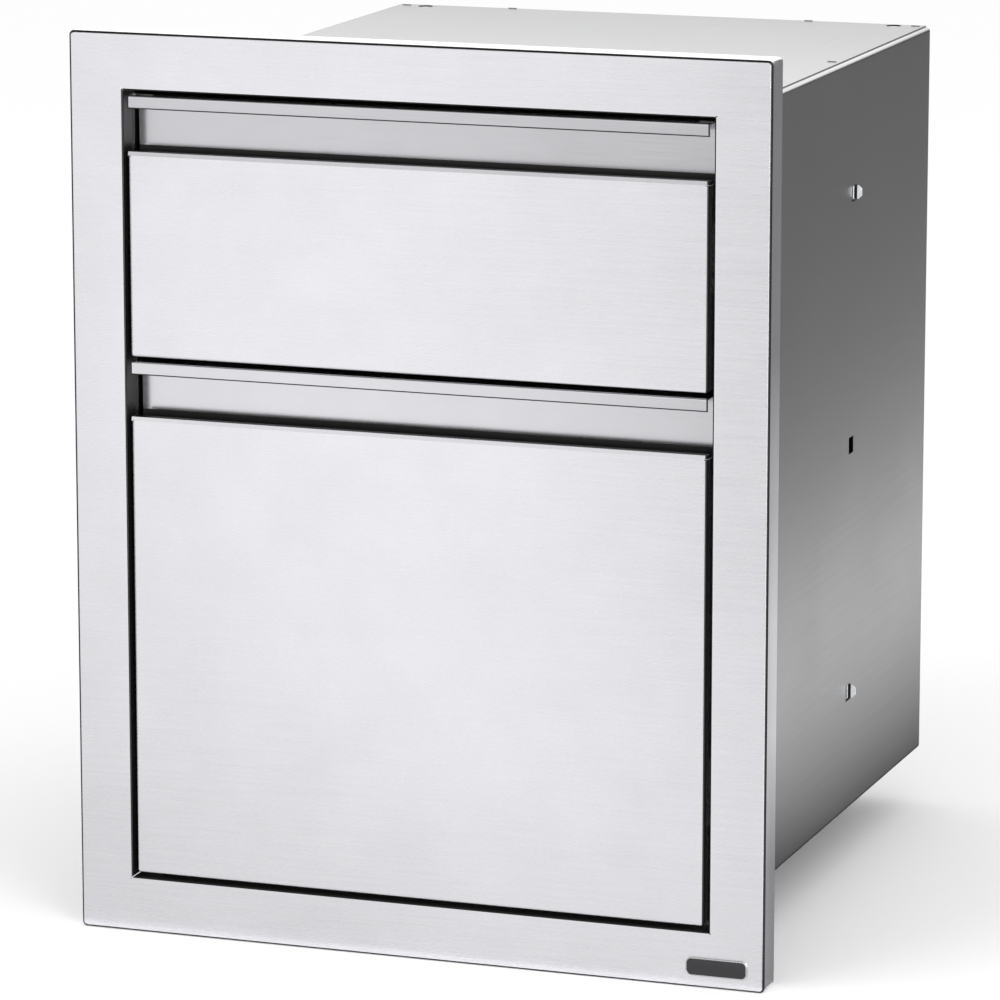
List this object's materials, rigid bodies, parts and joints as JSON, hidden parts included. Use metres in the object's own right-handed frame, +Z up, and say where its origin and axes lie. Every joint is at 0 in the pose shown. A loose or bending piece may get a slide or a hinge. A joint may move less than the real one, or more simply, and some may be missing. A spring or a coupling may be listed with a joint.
{
  "type": "built-in trash drawer",
  "caption": "Built-in stainless drawer unit for an outdoor kitchen: a short drawer above a tall trash drawer with hanging bins, recessed finger pulls and full-extension slides.",
  "frame": {"origin": "middle of the face frame's bottom edge, in the plane where the frame's rim meets the island's face", "axes": "+X to the right seen from the front, +Y into the cabinet, +Z up; the drawers open along -Y"},
  "size_m": [0.4826, 0.5169, 0.6096],
  "materials": {
    "brushed_stainless": "grade 304 sheet, horizontal brushed grain",
    "cabinet_stainless": "mill-finished sheet, smooth and dull",
    "drawer_stainless": "mill-finished sheet, smooth and dull",
    "zinc_plated_steel": "bright zinc plate on roll-formed steel",
    "bearing_steel": "polished balls in a pressed cage",
    "rivet_steel": "plain stainless",
    "black_enamel": "black enamel with a bright metal edge",
    "bin_plastic": "black moulded polypropylene, finely grained"
  },
  "bodies": {
    "cabinet": {"face_frame": "brushed_stainless", "blank_plate": "black_enamel", "cabinet_side_left": "cabinet_stainless", "cabinet_side_right": "cabinet_stainless", "cabinet_top": "cabinet_stainless", "cabinet_bottom": "cabinet_stainless", "cabinet_back": "cabinet_stainless", "back_rivets": "rivet_steel", "upper_slide_outer_left": "zinc_plated_steel", "upper_slide_outer_right": "zinc_plated_steel", "lower_slide_outer_left": "zinc_plated_steel", "lower_slide_outer_right": "zinc_plated_steel"},
    "upper_drawer": {"upper_front_pan": "brushed_stainless", "upper_lip_sheet": "brushed_stainless", "upper_pocket_floor": "drawer_stainless", "upper_box_left": "drawer_stainless", "upper_box_right": "drawer_stainless", "upper_box_bottom": "drawer_stainless", "upper_box_back": "drawer_stainless", "upper_slide_inner_left": "zinc_plated_steel", "upper_slide_inner_right": "zinc_plated_steel", "upper_slide_rivets": "rivet_steel", "upper_front_rivets": "rivet_steel"},
    "lower_drawer": {"lower_front_pan": "brushed_stainless", "lower_lip_sheet": "brushed_stainless", "lower_pocket_floor": "drawer_stainless", "lower_box_left": "drawer_stainless", "lower_box_right": "drawer_stainless", "lower_box_bottom": "drawer_stainless", "lower_box_back": "drawer_stainless", "lower_slide_inner_left": "zinc_plated_steel", "lower_slide_inner_right": "zinc_plated_steel", "lower_slide_rivets": "rivet_steel", "lower_front_rivets": "rivet_steel", "bin_rack": "drawer_stainless"},
    "front_bin": {"front_bin": "bin_plastic"},
    "rear_bin": {"rear_bin": "bin_plastic"},
    "upper_slide_middles": {"upper_slide_middle_left": "zinc_plated_steel", "upper_slide_middle_right": "zinc_plated_steel"},
    "upper_outer_cages": {"upper_outer_cage_left": "bearing_steel", "upper_outer_cage_right": "bearing_steel"},
    "upper_inner_cages": {"upper_inner_cage_left": "bearing_steel", "upper_inner_cage_right": "bearing_steel"},
    "lower_slide_middles": {"lower_slide_middle_left": "zinc_plated_steel", "lower_slide_middle_right": "zinc_plated_steel"},
    "lower_outer_cages": {"lower_outer_cage_left": "bearing_steel", "lower_outer_cage_right": "bearing_steel"},
    "lower_inner_cages": {"lower_inner_cage_left": "bearing_steel", "lower_inner_cage_right": "bearing_steel"}
  },
  "joints": [
    {"name": "upper_drawer_slide", "type": "slide", "parent": "cabinet", "child": "upper_drawer", "axis": [0, -1, 0], "range_m": [0, 0.42]},
    {"name": "upper_slide_middles_slide", "type": "slide", "parent": "cabinet", "child": "upper_slide_middles", "axis": [0, -1, 0], "range_m": [0, 0.21]},
    {"name": "upper_outer_cages_slide", "type": "slide", "parent": "cabinet", "child": "upper_outer_cages", "axis": [0, -1, 0], "range_m": [0, 0.105]},
    {"name": "upper_inner_cages_slide", "type": "slide", "parent": "cabinet", "child": "upper_inner_cages", "axis": [0, -1, 0], "range_m": [0, 0.315]},
    {"name": "lower_drawer_slide", "type": "slide", "parent": "cabinet", "child": "lower_drawer", "axis": [0, -1, 0], "range_m": [0, 0.42]},
    {"name": "lower_slide_middles_slide", "type": "slide", "parent": "cabinet", "child": "lower_slide_middles", "axis": [0, -1, 0], "range_m": [0, 0.21]},
    {"name": "lower_outer_cages_slide", "type": "slide", "parent": "cabinet", "child": "lower_outer_cages", "axis": [0, -1, 0], "range_m": [0, 0.105]},
    {"name": "lower_inner_cages_slide", "type": "slide", "parent": "cabinet", "child": "lower_inner_cages", "axis": [0, -1, 0], "range_m": [0, 0.315]},
    {"name": "front_bin_lift", "type": "slide", "parent": "lower_drawer", "child": "front_bin", "axis": [0, 0, 1], "range_m": [0, 0.06]},
    {"name": "rear_bin_lift", "type": "slide", "parent": "lower_drawer", "child": "rear_bin", "axis": [0, 0, 1], "range_m": [0, 0.06]}
  ],
  "couplings": [
    {"joint": "upper_slide_middles_slide", "follows": "upper_drawer_slide", "ratio": 0.5},
    {"joint": "upper_outer_cages_slide", "follows": "upper_drawer_slide", "ratio": 0.25},
    {"joint": "upper_inner_cages_slide", "follows": "upper_drawer_slide", "ratio": 0.75},
    {"joint": "lower_slide_middles_slide", "follows": "lower_drawer_slide", "ratio": 0.5},
    {"joint": "lower_outer_cages_slide", "follows": "lower_drawer_slide", "ratio": 0.25},
    {"joint": "lower_inner_cages_slide", "follows": "lower_drawer_slide", "ratio": 0.75}
  ]
}
